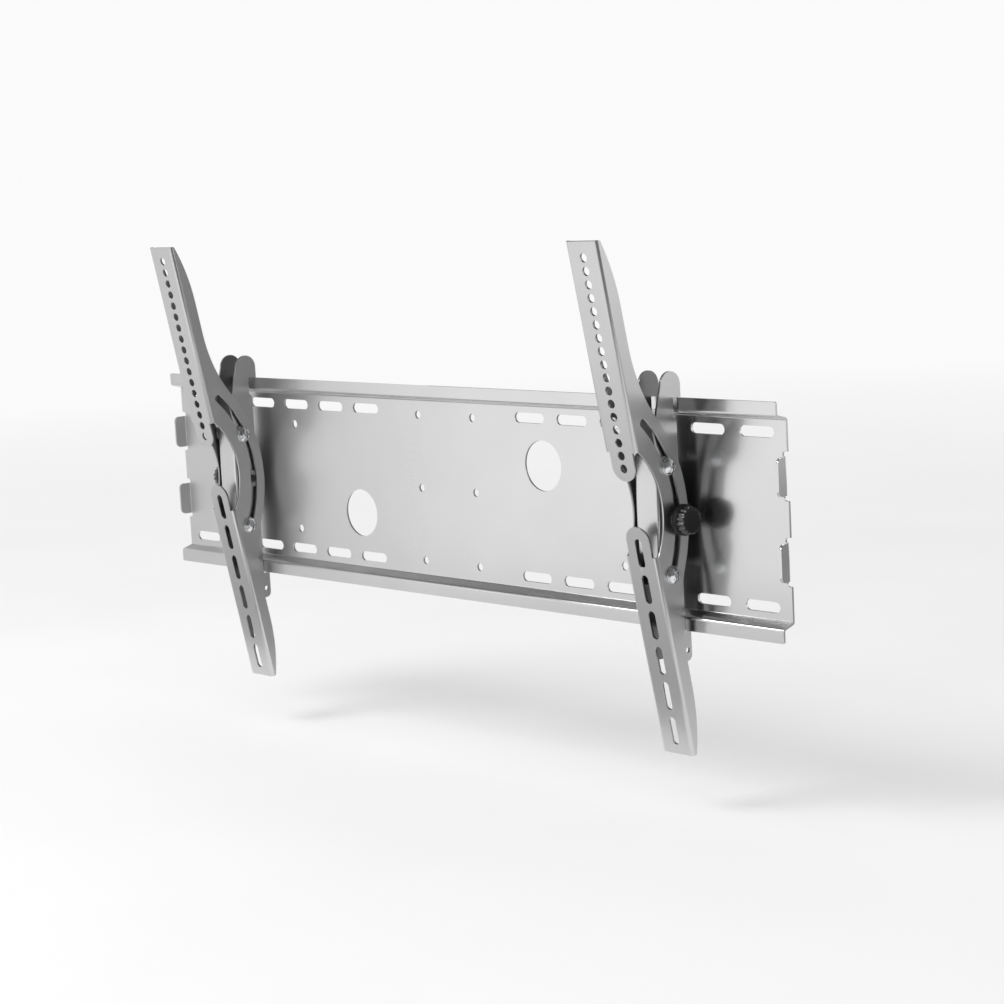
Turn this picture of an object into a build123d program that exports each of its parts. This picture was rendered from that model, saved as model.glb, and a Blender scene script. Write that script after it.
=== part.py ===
from build123d import *
from math import cos, radians, sin, sqrt
import os

# Tilting wall bracket for a flat screen, in millimetres.
# Origin: centre of the wall plate's back face. +X right, +Y into the wall, +Z up.

# Sheet steel shared by the plate, the hook brackets and the arms
sheet = 2.5
fold_radius = 2.25  # middle of the sheet

# Wall plate
plate_length = 926.0
plate_flat_height = 190.0  # flat between the two stepped rails
rail_reach = 16.5  # wall to the front face of a rail
rail_step_height = 4.0  # the slanted step between flat and rail
rail_height = 13.0
rail_corner = 1.5

wall_slot_length = 42.0
wall_slot_width = 10.5
wall_slot_pitch = 60.0
wall_slot_first = 127.5  # plate centre to the innermost slot
wall_slot_edge = 13.0  # slot row's centre line below the end of the flat
wall_slot_end_margin = 12.0

centre_hole_diameter = 8.5
centre_hole_spacing = 84.5
centre_hole_edge = 16.5  # upper and lower pair, from the end of the flat
outer_hole_diameter = 9.0
outer_hole_spacing = 504.0
outer_hole_edge = 35.5
cable_hole_diameter = 52.0
cable_hole_offset = 144.0
cable_hole_height = 34.0

stop_tab_height = 36.0
stop_tab_spacing = 80.0
stop_tab_rise = 2.0  # middle of the pair above the plate's middle
stop_tab_reach = 15.5  # wall to the tab's free edge
stop_tab_corner = 5.5
stop_tab_inset = 2.0  # plate's end to the tab's outer face, at the fold
stop_tab_lean = 1.9  # free edge further out than the fold
stop_tab_relief = 5.0

# Hook brackets, one U-channel each, open towards the wall
left_bracket_inset = 140.3  # plate's end to the bracket's middle
right_bracket_inset = 136.4
rail_clearance = 0.2
hook_width = 30.0
hook_base_margin = 10.0  # channel's base past the guide screws' axes
hook_face_clearance = 1.5  # between bracket and arm
ear_radius = 13.8
ear_rise = 25.5  # ear's top above the rail
shoulder_reach = 5.5  # side plate's front corner, forward of the fold
shoulder_rise = 23.0  # that corner above the channel's base
finger_thickness = 4.2
finger_length = 10.0
mouth_depth = 4.0  # play in front of the rail, for hanging the bracket in
mouth_length = 18.0  # from the slot's ceiling down
mouth_slope = 4.0
lock_tab_drop = 30.0  # below the rail
lock_tab_reach = 8.5  # wall to the tab's back edge
lock_tab_gap = 1.5
lock_tab_corner = 6.0
lock_hole_diameter = 5.5
lock_hole_inset = 5.5
lock_hole_rise = 10.5

# Tilt arms, one U-channel each, open towards the wall
arm_length = 510.0
arm_strip = 16.0  # depth of the channel along its straight stretch
arm_taper_length = 66.0
arm_end_depth = 5.0
arm_end_corner = 2.5
tilt_rest = 11.5  # forward of upright
knob_reach = 26.0  # wall to the knob's axis
knob_level = -2.5
guide_radius = 130.0  # the arc slot, about a pivot axis in front of the arm
washer_face_room = 3.2  # between a slide washer at the slot's end and the arm's front fold
web_edge = 15.0  # arc slot to the web's round back edge
window_edge = 19.0  # arc slot to the window
web_fillet = 160.0
window_half_height = 52.0
guide_angle = 23.5  # guide screws above and below the knob
guide_clearance = 0.5
slot_play = 1.0  # degrees of arc slot past a guide screw at full tilt

tongue_width = 29.0
tongue_tip_margin = 8.0  # least metal between a tongue's tip and its last hole
upper_tongue_tip = 23.5
lower_tongue_tip = 22.0
round_hole_diameter = 8.7
round_hole_pitch = 12.7
round_hole_edge = 15.6
face_slot_length = 29.0
face_slot_width = 8.5
face_slot_pitch = 36.5
face_slot_edge = 24.1

# Screws, nuts and washers
screw_diameter = 8.0
screw_hole_clearance = 0.4  # on the diameter
thread_clearance = 0.3  # on the diameter
seat_gap = 0.05  # between faces that press on each other
arm_play = 0.1  # between a web and the washers on either side of it
head_diameter = 15.5
head_height = 5.5
head_rim = 1.8
head_flat_diameter = 5.0
head_round = 7.5
recess_length = 8.6
recess_width = 1.7
recess_depth = 2.8
recess_taper = 9.0
flat_washer_diameter = 17.0
flat_washer_thickness = 1.5
slide_washer_diameter = 19.0
slide_washer_thickness = 2.35
spacer_diameter = 12.0
spacer_gap = 1.7  # to the base of the hook bracket's channel
nut_across_flats = 13.0
nut_height = 6.5
nut_chamfer = 0.55  # along the axis, at the hexagon's corners
lock_collar_height = 1.8
lock_collar_diameter = 11.2
thread_end = 1.4  # screw past its nut
tip_chamfer = 0.8

# Clamping knob
knob_diameter = 30.0
knob_skirt_height = 6.5
knob_skirt_edge = 0.8
knob_hub_diameter = 17.0
knob_hub_height = 3.0
grip_diameter = 28.0
grip_height = 7.5
grip_taper = 5.0
grip_edge = 0.6
flute_count = 16
flute_radius = 1.7
flute_depth = 1.0
knob_bore_depth = 11.0
knob_washer_diameter = 18.0
stud_end_inset = 0.5

# Worked out from the sizes above
flat_top = plate_flat_height / 2
rail_bottom = flat_top + rail_step_height
rail_top = rail_bottom + rail_height
rail_back = rail_reach - sheet
fold_outside = fold_radius + sheet / 2
left_centre = -plate_length / 2 + left_bracket_inset
right_centre = plate_length / 2 - right_bracket_inset
pivot = (-knob_reach - guide_radius, knob_level)
slot_reach = guide_angle + tilt_rest + slot_play
slot_end = guide_radius * cos(radians(slot_reach))
face_radius = slot_end - slide_washer_diameter / 2 - washer_face_room - fold_outside
web_radius = guide_radius + web_edge
half_arm = arm_length / 2
hook_half = hook_width / 2
web_inside = hook_half + seat_gap + slide_washer_thickness + arm_play
web_outside = web_inside + sheet
shank_hole = screw_diameter + screw_hole_clearance
nut_bore = screw_diameter + thread_clearance
stack_end = web_outside + arm_play + flat_washer_thickness + seat_gap


def guide_point(angle):
    """The point (Y, Z) of the screws' arc at an angle above the pivot's level."""
    turn = radians(angle)
    return (pivot[0] + guide_radius * cos(turn), pivot[1] + guide_radius * sin(turn))


def face_edge(z):
    """Y of the line that clears the resting arm's inner face, at a height."""
    turn = radians(tilt_rest)
    clear_radius = face_radius + sheet + hook_face_clearance
    return pivot[0] + (clear_radius - (z - pivot[1]) * sin(turn)) / cos(turn)


def turned_corners(start, end):
    """Outline (X, radius) between two faces of a nut that turns off its hexagon's corners."""
    corner = nut_across_flats / 2 / cos(radians(30))
    face = corner - nut_chamfer / sin(radians(30))
    slope = [(start, face), (start + nut_chamfer, corner), (end - nut_chamfer, corner), (end, face)]
    return [(start, 0), *slope, (end, 0)]


upper_point = guide_point(guide_angle)
lower_point = guide_point(-guide_angle)
knob_point = guide_point(0)
base_face = upper_point[0] - spacer_diameter / 2 - spacer_gap - sheet

os.makedirs("parts", exist_ok=True)


def write(piece, name):
    """Label one finished piece and write it to its own file."""
    piece.label = name
    export_step(piece, f"parts/{name}.step")


# Wall plate: the folded section runs the whole length, then the slots and holes are punched
with BuildPart() as wall_plate:
    with BuildSketch(Plane.YZ):
        with BuildLine():
            FilletPolyline(
                (-rail_reach + sheet / 2, -rail_top),
                (-rail_reach + sheet / 2, -rail_bottom),
                (-sheet / 2, -flat_top),
                (-sheet / 2, flat_top),
                (-rail_reach + sheet / 2, rail_bottom),
                (-rail_reach + sheet / 2, rail_top),
                radius=fold_radius,
            )
        trace(line_width=sheet)
    extrude(amount=plate_length / 2, both=True)
    corner_edges = wall_plate.edges().filter_by(Axis.Y).group_by(Axis.Z)
    fillet(corner_edges[0] + corner_edges[-1], radius=rail_corner)

    # End-stop tabs: the sheet is relieved above and below each tab, then folded forward
    tab_face = plate_length / 2 - stop_tab_inset
    fold_start = tab_face - fold_outside
    relief_depth = plate_length / 2 - fold_start
    tab_rows = (stop_tab_rise - stop_tab_spacing / 2, stop_tab_rise + stop_tab_spacing / 2)
    for end in (-1, 1):
        with BuildSketch(Plane.XZ):
            with Locations(*[(end * plate_length / 2, z) for z in tab_rows]):
                RectangleRounded(2 * relief_depth, stop_tab_height + 2 * stop_tab_relief, stop_tab_relief / 2)
        extrude(amount=sheet, mode=Mode.SUBTRACT)
        for z in tab_rows:
            with BuildSketch(Plane.XY.offset(z - stop_tab_height / 2)):
                with BuildLine():
                    FilletPolyline(
                        (end * (fold_start - sheet), -sheet / 2),
                        (end * (tab_face - sheet / 2), -sheet / 2),
                        (end * (tab_face - sheet / 2 + stop_tab_lean), -stop_tab_reach),
                        radius=fold_radius,
                    )
                trace(line_width=sheet)
            extrude(amount=stop_tab_height)
    tip_edges = wall_plate.edges().filter_by(lambda edge: abs(edge.length - sheet) < sheet / 100)
    fillet(tip_edges.filter_by(lambda edge: abs(edge.center().Y + stop_tab_reach) < sheet), radius=stop_tab_corner)

    slot_room = plate_length / 2 - wall_slot_end_margin - wall_slot_length / 2 - wall_slot_first
    slots_each_side = int(slot_room / wall_slot_pitch) + 1
    slot_x = [wall_slot_first + wall_slot_pitch * i for i in range(slots_each_side)]
    slot_columns = [-x for x in slot_x] + slot_x
    slot_row = flat_top - wall_slot_edge
    centre_row = flat_top - centre_hole_edge
    outer_row = flat_top - outer_hole_edge
    with BuildSketch(Plane.XZ):
        with Locations(*[(x, z) for x in slot_columns for z in (-slot_row, slot_row)]):
            SlotOverall(wall_slot_length, wall_slot_width)
        with GridLocations(centre_hole_spacing, centre_row, 2, 3):
            Circle(centre_hole_diameter / 2)
        with GridLocations(outer_hole_spacing, 2 * outer_row, 2, 2):
            Circle(outer_hole_diameter / 2)
        with Locations((-cable_hole_offset, -cable_hole_height), (cable_hole_offset, cable_hole_height)):
            Circle(cable_hole_diameter / 2)
    extrude(amount=sheet, mode=Mode.SUBTRACT)

write(wall_plate.part, "wall_plate")

# Hook bracket: a folded channel trimmed to the side view, with the hook's mouth and the lock tab
with BuildPart() as hook_bracket:
    ear_back = -rail_back + rail_clearance + finger_thickness
    ear_centre = (ear_back - ear_radius, rail_top + ear_rise - ear_radius)
    ear_front = (ear_centre[0] - ear_radius, ear_centre[1])
    rest_edge = -rail_reach - rail_clearance
    mouth_front = -rail_reach - mouth_depth
    mouth_ceiling = rail_top + rail_clearance
    mouth_floor = mouth_ceiling - mouth_length
    tab_bottom = -rail_top - lock_tab_drop
    side_front = base_face + fold_outside
    base_top = upper_point[1] + hook_base_margin
    base_bottom = lower_point[1] - hook_base_margin
    with BuildSketch(Plane.XY.offset(tab_bottom)):
        with BuildLine():
            FilletPolyline(
                (-hook_half + sheet / 2, 0),
                (-hook_half + sheet / 2, base_face + sheet / 2),
                (hook_half - sheet / 2, base_face + sheet / 2),
                (hook_half - sheet / 2, 0),
                radius=fold_radius,
            )
        trace(line_width=sheet)
    extrude(amount=rail_top + ear_rise - tab_bottom)
    with BuildSketch(Plane.YZ):
        with BuildLine():
            outline = Polyline(
                ear_front,
                (side_front, base_top),
                (base_face, base_top),
                (base_face, base_bottom),
                (side_front, base_bottom),
                (face_edge(tab_bottom), tab_bottom),
                (-lock_tab_reach, tab_bottom),
                (-lock_tab_reach, -rail_top - lock_tab_gap),
                (rest_edge, -rail_top - lock_tab_gap),
                (rest_edge, mouth_floor - mouth_slope),
                (mouth_front, mouth_floor),
                (mouth_front, mouth_ceiling),
                (-rail_back + rail_clearance, mouth_ceiling),
                (-rail_back + rail_clearance, rail_top - finger_length),
                (ear_back, rail_top - finger_length),
                (ear_back, ear_centre[1]),
            )
            ThreePointArc(outline @ 1, (ear_centre[0], ear_centre[1] + ear_radius), outline @ 0)
        make_face()
        fillet(vertices().group_by(Axis.Y)[0], radius=lock_tab_corner)
    extrude(amount=hook_half, both=True, mode=Mode.INTERSECT)

    # Shoulder of each side plate, a free edge that runs forward past the end of the channel's base
    shoulder = (side_front - shoulder_reach, base_top + shoulder_rise)
    for side in (-1, 1):
        with BuildSketch(Plane.YZ.offset(side * hook_half)):
            with BuildLine():
                Polyline(ear_front, shoulder, (side_front, base_top), ear_centre, close=True)
            make_face()
        extrude(amount=-side * sheet)

    with BuildSketch(Plane.YZ):
        with Locations(upper_point, lower_point, knob_point):
            Circle(shank_hole / 2)
        with Locations((-lock_tab_reach - lock_hole_inset, tab_bottom + lock_hole_rise)):
            Circle(lock_hole_diameter / 2)
    extrude(amount=hook_half, both=True, mode=Mode.SUBTRACT)

# Tilt arm, upright and about its pivot axis: the channel is trimmed to the web's outline
with BuildPart() as tilt_arm:
    strip_back = face_radius + arm_strip
    taper_start = half_arm - arm_taper_length
    taper_drop = arm_strip - arm_end_depth
    taper_radius = (arm_taper_length**2 + taper_drop**2) / (2 * taper_drop)
    fillet_x = strip_back + web_fillet
    fillet_y = sqrt((web_radius + web_fillet) ** 2 - fillet_x**2)
    web_share = web_radius / (web_radius + web_fillet)
    with BuildSketch(Plane.XY.offset(-half_arm)):
        with BuildLine():
            FilletPolyline(
                (-web_outside + sheet / 2, web_radius),
                (-web_outside + sheet / 2, face_radius + sheet / 2),
                (web_outside - sheet / 2, face_radius + sheet / 2),
                (web_outside - sheet / 2, web_radius),
                radius=fold_radius,
            )
        trace(line_width=sheet)
    extrude(amount=arm_length)
    with BuildSketch(Plane.YZ):
        with BuildLine():
            Polyline((face_radius, 0), (face_radius, half_arm), (face_radius + arm_end_depth, half_arm))
            RadiusArc((face_radius + arm_end_depth, half_arm), (strip_back, taper_start), taper_radius)
            Line((strip_back, taper_start), (strip_back, fillet_y))
            RadiusArc((strip_back, fillet_y), (fillet_x * web_share, fillet_y * web_share), -web_fillet)
            RadiusArc((fillet_x * web_share, fillet_y * web_share), (web_radius, 0), web_radius)
            mirror(about=Plane.XZ)
        make_face()
        end_points = vertices().filter_by(lambda point: abs(point.X) > face_radius + sheet)
        fillet(end_points.filter_by(lambda point: half_arm - abs(point.Y) < sheet), radius=arm_end_corner)
    extrude(amount=web_outside, both=True, mode=Mode.INTERSECT)

    # Window between front face and arc slot, then the two tongues that reach into it
    with BuildSketch(Plane.YZ):
        with BuildLine():
            window = ThreePointArc(
                (face_radius + fold_outside, -window_half_height),
                (guide_radius - window_edge, 0),
                (face_radius + fold_outside, window_half_height),
            )
            Polyline(
                window @ 1,
                (face_radius, window_half_height),
                (face_radius, -window_half_height),
                window @ 0,
            )
        make_face()
    extrude(amount=web_outside, both=True, mode=Mode.SUBTRACT)
    with BuildSketch(Plane.XZ.offset(-face_radius)):
        for tip, way in ((upper_tongue_tip, 1), (lower_tongue_tip, -1)):
            tongue = window_half_height + fold_outside - tip
            with Locations((0, way * (tip + tongue))):
                SlotOverall(2 * tongue, tongue_width, rotation=90)
    extrude(amount=-sheet)

    # Screw holes for the screen, and the arc slots through both webs
    round_room = half_arm - round_hole_edge - upper_tongue_tip - tongue_tip_margin - round_hole_diameter / 2
    round_count = int(round_room / round_hole_pitch) + 1
    slot_room = half_arm - face_slot_edge - lower_tongue_tip - tongue_tip_margin - face_slot_length / 2
    slot_count = int(slot_room / face_slot_pitch) + 1
    with BuildSketch(Plane.XZ.offset(-face_radius)):
        with Locations(*[(0, half_arm - round_hole_edge - round_hole_pitch * i) for i in range(round_count)]):
            Circle(round_hole_diameter / 2)
        with Locations(*[(0, face_slot_edge - half_arm + face_slot_pitch * i) for i in range(slot_count)]):
            SlotOverall(face_slot_length, face_slot_width, rotation=90)
    extrude(amount=-sheet, mode=Mode.SUBTRACT)
    slot_line = Edge.make_circle(guide_radius, start_angle=-slot_reach, end_angle=slot_reach)
    with BuildSketch(Plane.YZ):
        SlotArc(slot_line, screw_diameter + guide_clearance)
    extrude(amount=web_outside, both=True, mode=Mode.SUBTRACT)

# Guide screw, its axis on the X axis and the bracket's middle at x = 0: pan head with a cross recess
with BuildPart() as guide_screw:
    tip = -stack_end - nut_height - lock_collar_height - thread_end
    head_top = stack_end + head_height
    with BuildSketch(Plane.XY):
        with BuildLine():
            profile = Polyline(
                (head_top, head_flat_diameter / 2),
                (head_top, 0),
                (tip, 0),
                (tip, screw_diameter / 2 - tip_chamfer),
                (tip + tip_chamfer, screw_diameter / 2),
                (stack_end, screw_diameter / 2),
                (stack_end, head_diameter / 2),
                (stack_end + head_rim, head_diameter / 2),
            )
            RadiusArc(profile @ 1, profile @ 0, head_round)
        make_face()
    revolve(axis=Axis.X)
    with BuildSketch(Plane.YZ.offset(head_top)):
        Rectangle(recess_length, recess_width)
        Rectangle(recess_width, recess_length)
    extrude(amount=-recess_depth, taper=recess_taper, mode=Mode.SUBTRACT)

# Lock nut on the other end of the screw: hexagon with turned corners and a round collar
with BuildPart() as lock_nut:
    with BuildSketch(Plane.YZ.offset(-stack_end)):
        RegularPolygon(nut_across_flats / 2, 6, major_radius=False)
    extrude(amount=-nut_height)
    with BuildSketch(Plane.XY):
        with BuildLine():
            Polyline(*turned_corners(-stack_end - nut_height, -stack_end), close=True)
        make_face()
    revolve(axis=Axis.X, mode=Mode.INTERSECT)
    with BuildSketch(Plane.YZ.offset(-stack_end - nut_height)):
        Circle(lock_collar_diameter / 2)
    extrude(amount=-lock_collar_height)
    with BuildSketch(Plane.YZ.offset(-stack_end)):
        Circle(nut_bore / 2)
    extrude(amount=-nut_height - lock_collar_height, mode=Mode.SUBTRACT)

# Spacer tube between the hook bracket's side plates
with BuildPart() as spacer:
    with BuildSketch(Plane.YZ):
        Circle(spacer_diameter / 2)
        Circle(shank_hole / 2, mode=Mode.SUBTRACT)
    extrude(amount=hook_half - sheet - seat_gap, both=True)

# Slide washers fill the room between side plates and webs, at each screw and at the knob
with BuildPart() as slide_washers:
    for side in (-1, 1):
        with BuildSketch(Plane.YZ.offset(side * (hook_half + seat_gap))):
            with Locations(upper_point, lower_point, knob_point):
                Circle(slide_washer_diameter / 2)
                Circle(shank_hole / 2, mode=Mode.SUBTRACT)
        extrude(amount=side * (web_inside - hook_half - seat_gap - arm_play))

# Flat washers under the screw heads and the lock nuts
with BuildPart() as flat_washers:
    for side in (-1, 1):
        with BuildSketch(Plane.YZ.offset(side * (web_outside + arm_play))):
            with Locations(upper_point, lower_point):
                Circle(flat_washer_diameter / 2)
                Circle(shank_hole / 2, mode=Mode.SUBTRACT)
        extrude(amount=side * flat_washer_thickness)

# Knob, pointing along +X: round hub, plain skirt and a tapered, fluted grip, with a blind bore for its stud
with BuildPart() as knob:
    skirt_start = stack_end + knob_hub_height
    grip_start = skirt_start + knob_skirt_height
    with BuildSketch(Plane.YZ.offset(skirt_start)):
        Circle(knob_diameter / 2)
    extrude(amount=knob_skirt_height)
    fillet(edges(), radius=knob_skirt_edge)
    with BuildSketch(Plane.YZ.offset(stack_end)):
        Circle(knob_hub_diameter / 2)
    extrude(amount=knob_hub_height)
    with BuildSketch(Plane.YZ.offset(grip_start)):
        Circle(grip_diameter / 2)
        with PolarLocations(grip_diameter / 2 + flute_radius - flute_depth, flute_count):
            Circle(flute_radius, mode=Mode.SUBTRACT)
    extrude(amount=grip_height, taper=grip_taper)
    fillet(faces().sort_by(Axis.X)[-1].edges(), radius=grip_edge)
    with BuildSketch(Plane.YZ.offset(stack_end)):
        Circle(nut_bore / 2)
    extrude(amount=knob_bore_depth, mode=Mode.SUBTRACT)

# Stud from the knob's bore to the far web's slot
with BuildPart() as knob_stud:
    with BuildSketch(Plane.YZ.offset(stud_end_inset - web_outside)):
        Circle(screw_diameter / 2)
    extrude(amount=stack_end + knob_bore_depth - seat_gap - stud_end_inset + web_outside)
    chamfer(faces().sort_by(Axis.X)[0].edges(), length=tip_chamfer)

# Washer under the knob
with BuildPart() as knob_washer:
    with BuildSketch(Plane.YZ.offset(web_outside + arm_play)):
        Circle(knob_washer_diameter / 2)
        Circle(shank_hole / 2, mode=Mode.SUBTRACT)
    extrude(amount=flat_washer_thickness)

# Nut for the stud, fixed inside the far side plate
with BuildPart() as knob_nut:
    nut_start = -hook_half + sheet + seat_gap
    with BuildSketch(Plane.YZ.offset(nut_start)):
        RegularPolygon(nut_across_flats / 2, 6, major_radius=False)
    extrude(amount=nut_height)
    with BuildSketch(Plane.XY):
        with BuildLine():
            Polyline(*turned_corners(nut_start, nut_start + nut_height), close=True)
        make_face()
    revolve(axis=Axis.X, mode=Mode.INTERSECT)
    with BuildSketch(Plane.YZ.offset(nut_start)):
        Circle(nut_bore / 2)
    extrude(amount=nut_height, mode=Mode.SUBTRACT)

# Both assemblies: the knobs face outwards, every screw head faces right
for side, centre, turn in (("left", left_centre, 180), ("right", right_centre, 0)):
    write(hook_bracket.part.moved(Location((centre, 0, 0))), f"{side}_hook_bracket")
    write(tilt_arm.part.moved(Location((centre, *pivot), (tilt_rest, 0, 0))), f"{side}_tilt_arm")
    write(slide_washers.part.moved(Location((centre, 0, 0))), f"{side}_slide_washers")
    write(flat_washers.part.moved(Location((centre, 0, 0))), f"{side}_flat_washers")
    for row, point in (("upper", upper_point), ("lower", lower_point)):
        screw_place = Location((centre, *point))
        write(guide_screw.part.moved(screw_place), f"{side}_{row}_guide_screw")
        write(lock_nut.part.moved(screw_place), f"{side}_{row}_lock_nut")
        write(spacer.part.moved(screw_place), f"{side}_{row}_spacer")
    knob_place = Location((centre, *knob_point), (0, 0, turn))
    write(knob.part.moved(knob_place), f"{side}_knob")
    write(knob_stud.part.moved(knob_place), f"{side}_knob_stud")
    write(knob_washer.part.moved(knob_place), f"{side}_knob_washer")
    write(knob_nut.part.moved(knob_place), f"{side}_knob_nut")
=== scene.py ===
# %% [markdown]
# # A tilting wall bracket
# The bracket is folded steel sheet: a long slotted plate for the wall, two hook brackets that hang on
# its rails, and two arms that tilt on curved slots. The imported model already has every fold, slot and
# hole in the right place, so this lesson keeps those sheets and spends its time on what the model
# leaves plain: the paint, the softened edges, the screws with their threads, and the fluted knobs.

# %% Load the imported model
from math import cos, radians, sin

import bmesh
import bpy
import numpy as np
from mathutils import Matrix, Vector


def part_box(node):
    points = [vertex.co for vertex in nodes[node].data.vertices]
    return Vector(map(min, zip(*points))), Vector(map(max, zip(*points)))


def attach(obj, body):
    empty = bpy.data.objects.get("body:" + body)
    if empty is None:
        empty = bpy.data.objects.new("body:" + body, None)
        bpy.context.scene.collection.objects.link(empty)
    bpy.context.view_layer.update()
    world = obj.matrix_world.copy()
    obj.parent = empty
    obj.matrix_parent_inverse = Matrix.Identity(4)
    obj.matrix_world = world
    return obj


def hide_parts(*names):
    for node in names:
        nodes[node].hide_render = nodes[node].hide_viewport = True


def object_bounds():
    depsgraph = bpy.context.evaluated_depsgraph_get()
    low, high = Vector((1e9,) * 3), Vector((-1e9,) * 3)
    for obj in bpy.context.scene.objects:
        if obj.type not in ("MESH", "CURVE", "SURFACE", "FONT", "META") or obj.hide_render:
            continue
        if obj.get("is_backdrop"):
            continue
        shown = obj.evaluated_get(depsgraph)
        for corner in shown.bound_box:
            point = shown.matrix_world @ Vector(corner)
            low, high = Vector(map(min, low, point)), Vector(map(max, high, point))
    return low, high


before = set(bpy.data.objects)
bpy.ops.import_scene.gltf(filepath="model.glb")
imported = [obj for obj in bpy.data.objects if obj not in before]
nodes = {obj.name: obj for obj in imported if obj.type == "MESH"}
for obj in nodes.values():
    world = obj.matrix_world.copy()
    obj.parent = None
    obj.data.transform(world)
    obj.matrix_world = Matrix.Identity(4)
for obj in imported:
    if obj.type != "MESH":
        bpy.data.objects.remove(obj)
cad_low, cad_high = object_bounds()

MM = 0.001  # the new pieces are written in millimetres
SIDES = ("left", "right")
ROWS = ("upper", "lower")  # the two guide screws of a side
scene = bpy.context.scene
print("parts in the frame:", len(nodes))
print("box from", tuple(cad_low), "to", tuple(cad_high))

# %% [markdown]
# ## Surfaces from two parameters
# Every new piece here is turned on a lathe, or nearly so. Such a shape is a grid of points: one
# parameter runs along a profile, the other goes round the axis. A Screw modifier could spin a drawn
# curve as well, but in a grid the radius may also change with the angle, which threads, hexagons and
# flutes need. Whole arrays are quicker than vertices placed one by one, and the same few lines serve
# all the small parts.

# %% Grids of points
def turn_angles(count):
    """Angles for one turn: count equal steps that start at zero and stop one step short of the circle."""
    return np.arange(count) * (2 * np.pi / count)


def grid_faces(rows, columns, first):
    """Quads of a grid that closes round its columns: (i, j) joins (i, j+1), (i+1, j+1) and (i+1, j)."""
    i, j = np.meshgrid(np.arange(rows - 1), np.arange(columns), indexing="ij")
    k = (j + 1) % columns
    corners = [i * columns + j, i * columns + k, (i + 1) * columns + k, (i + 1) * columns + j]
    return first + np.stack(corners, -1).reshape(-1, 4)


def turned(along, radius, centre, facing=1):
    """Points of a turned shape about an axis through the centre, parallel to X.
    Row i lies at x = along[i, j] and at radius[i, j] from the axis.
    Column j lies at the angle 2 pi j / columns.
    Facing -1 turns the shape round, so that it points along -X."""
    angle = turn_angles(radius.shape[1])
    x, y, z = along * facing, radius * np.cos(angle), radius * np.sin(angle) * facing
    return np.stack([x, y, z], -1) + np.asarray(centre, float)


print("faces of a grid of 3 rows and 8 columns:", len(grid_faces(3, 8, 0)))

# %% Profiles
def ringed(profile, columns):
    """Rows of a turned shape from pairs of x and radius, each pair the same all the way round."""
    x, radius = np.array(profile, float).T
    return np.tile(x[:, None], columns), np.tile(radius[:, None], columns)


def joined(*stretches):
    """Stretches of a profile, each with its rows of x and of radius, set one after the other."""
    return [np.concatenate(rows) for rows in zip(*stretches)]


print("rows and columns of a plain tube:", ringed([(0, 4), (10, 4)], 8)[0].shape)

# %% [markdown]
# ## From points to pieces
# The grids of a piece become one mesh. Where a profile ends on the axis, a whole row falls on one
# point, so doubled points are merged, and faces are turned to point outwards. Edges sharper than an
# angle stay crisp, all others are shaded smooth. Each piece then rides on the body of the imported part
# that it stands for.

# %% Pieces
def solid_piece(name, grids, material, sharp=32):
    """One mesh from several grids of points, with doubled points at poles and seams merged."""
    counts = np.cumsum([0] + [g.shape[0] * g.shape[1] for g in grids])
    points = np.concatenate([g.reshape(-1, 3) for g in grids]) * MM
    faces = np.concatenate([grid_faces(*g.shape[:2], start) for g, start in zip(grids, counts)])
    mesh = bpy.data.meshes.new(name)
    mesh.from_pydata(points, [], faces)
    work = bmesh.new()
    work.from_mesh(mesh)
    bmesh.ops.remove_doubles(work, verts=work.verts, dist=1e-7)
    bmesh.ops.dissolve_degenerate(work, edges=work.edges, dist=1e-8)
    bmesh.ops.recalc_face_normals(work, faces=work.faces)
    work.to_mesh(mesh)
    work.free()
    mesh.shade_smooth()
    mesh.set_sharp_from_angle(angle=radians(sharp))
    mesh.materials.append(material)
    piece = bpy.data.objects.new(name, mesh)
    scene.collection.objects.link(piece)
    print(name, "faces:", len(mesh.polygons))
    return piece


def fit(piece, body, slot, *replaced):
    """Hang a piece on its body and hide the parts that it stands for. The slot is not used."""
    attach(piece, body)
    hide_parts(*replaced)


def axis_of(node):
    """Where a turned part lies, in millimetres: its box's ends in x, and the box's middle in y and z."""
    low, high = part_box(node)
    return low.x / MM, high.x / MM, (low.y + high.y) / 2 / MM, (low.z + high.z) / 2 / MM


print("right knob's stud, in mm:", [round(v, 2) for v in axis_of("right_knob_stud")])

# %% [markdown]
# ## Nodes for finishes
# A finish is one main shader, fed by a few other nodes. Each helper below adds one of those and hands
# back its output, so that a finish reads like a short recipe. The patterns use Object coordinates: they
# stay where they are on a piece and keep their scale, whatever its mesh looks like.

# %% Noise, ranges and tones
def node_material(name):
    """A new node material, with its nodes and links, and its main shader."""
    material = bpy.data.materials.new(name)
    material.use_nodes = True
    tree = material.node_tree
    return material, tree, tree.nodes["Principled BSDF"]


def object_noise(tree, scale, detail):
    """Noise on Object coordinates, so that it keeps its place on the piece."""
    place = tree.nodes.new("ShaderNodeTexCoord")
    noise = tree.nodes.new("ShaderNodeTexNoise")
    noise.inputs["Scale"].default_value = scale
    noise.inputs["Detail"].default_value = detail
    noise.inputs["Roughness"].default_value = 0.5
    tree.links.new(place.outputs["Object"], noise.inputs["Vector"])
    return noise.outputs["Fac"]


def spread(tree, factor, low, high, start=0.3, end=0.7):
    """Stretches a factor between start and end to a range of values."""
    ramp = tree.nodes.new("ShaderNodeMapRange")
    ramp.inputs["From Min"].default_value = start
    ramp.inputs["From Max"].default_value = end
    ramp.inputs["To Min"].default_value = low
    ramp.inputs["To Max"].default_value = high
    tree.links.new(factor, ramp.inputs["Value"])
    return ramp.outputs["Result"]


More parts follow.
